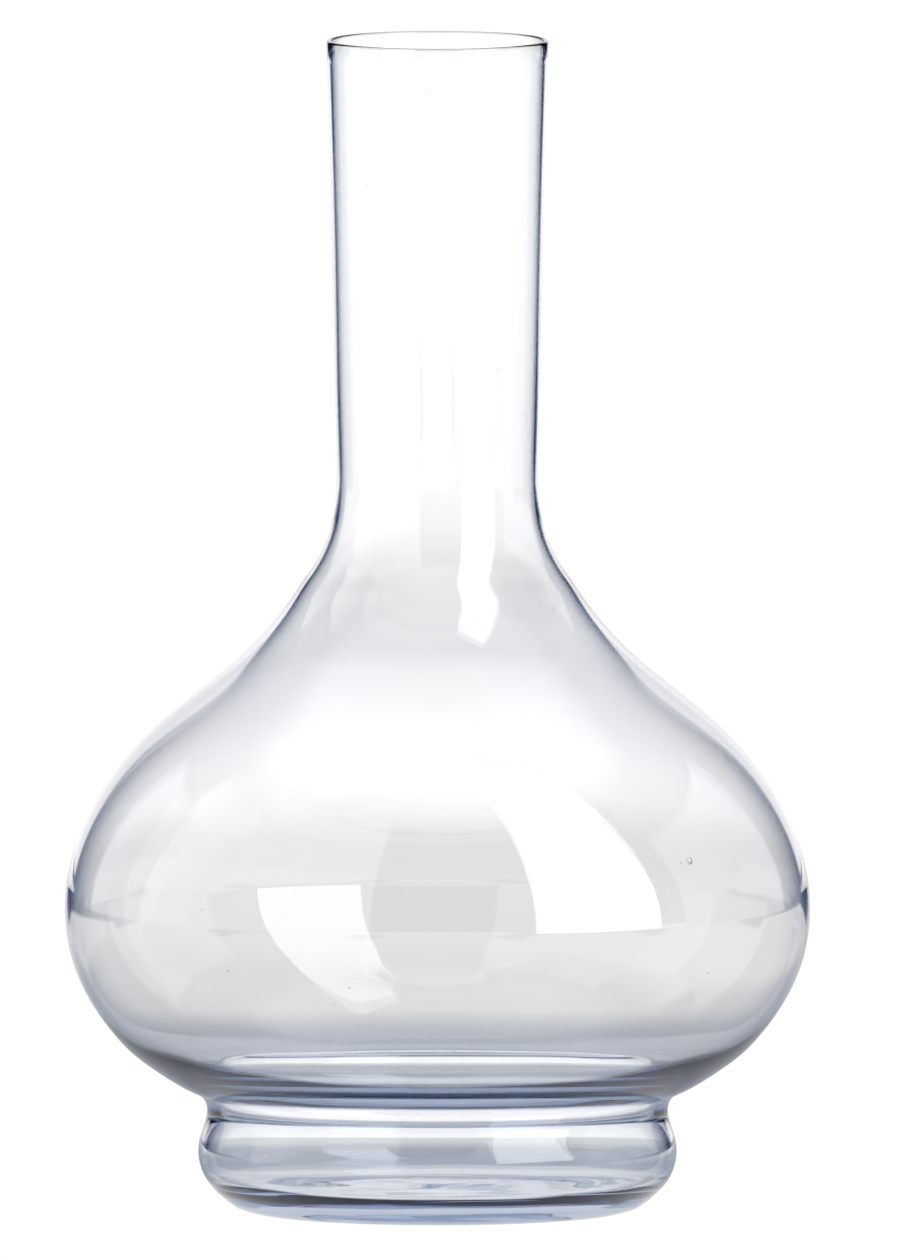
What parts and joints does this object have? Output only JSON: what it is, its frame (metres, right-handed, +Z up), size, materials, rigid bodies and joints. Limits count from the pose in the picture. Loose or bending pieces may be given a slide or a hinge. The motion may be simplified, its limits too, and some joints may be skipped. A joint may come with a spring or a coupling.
{
  "type": "carafe",
  "caption": "Tall-necked carafe of clear blown glass with an onion-shaped bulb, a tight waist and a hollow foot, for holding and pouring wine or water.",
  "frame": {"origin": "on the axis, on the surface the carafe stands on", "axes": "+Z up along the axis of the neck, bulb and foot; the shape is turned, so X and Y are alike"},
  "size_m": [0.1666, 0.1666, 0.2625],
  "materials": {
    "clear_glass": "polished clear soda glass with a faint blue-grey tint"
  },
  "bodies": {
    "root": {"neck": "clear_glass", "bulb": "clear_glass", "waist_collar": "clear_glass", "foot_wall": "clear_glass", "base": "clear_glass"}
  },
  "joints": []
}
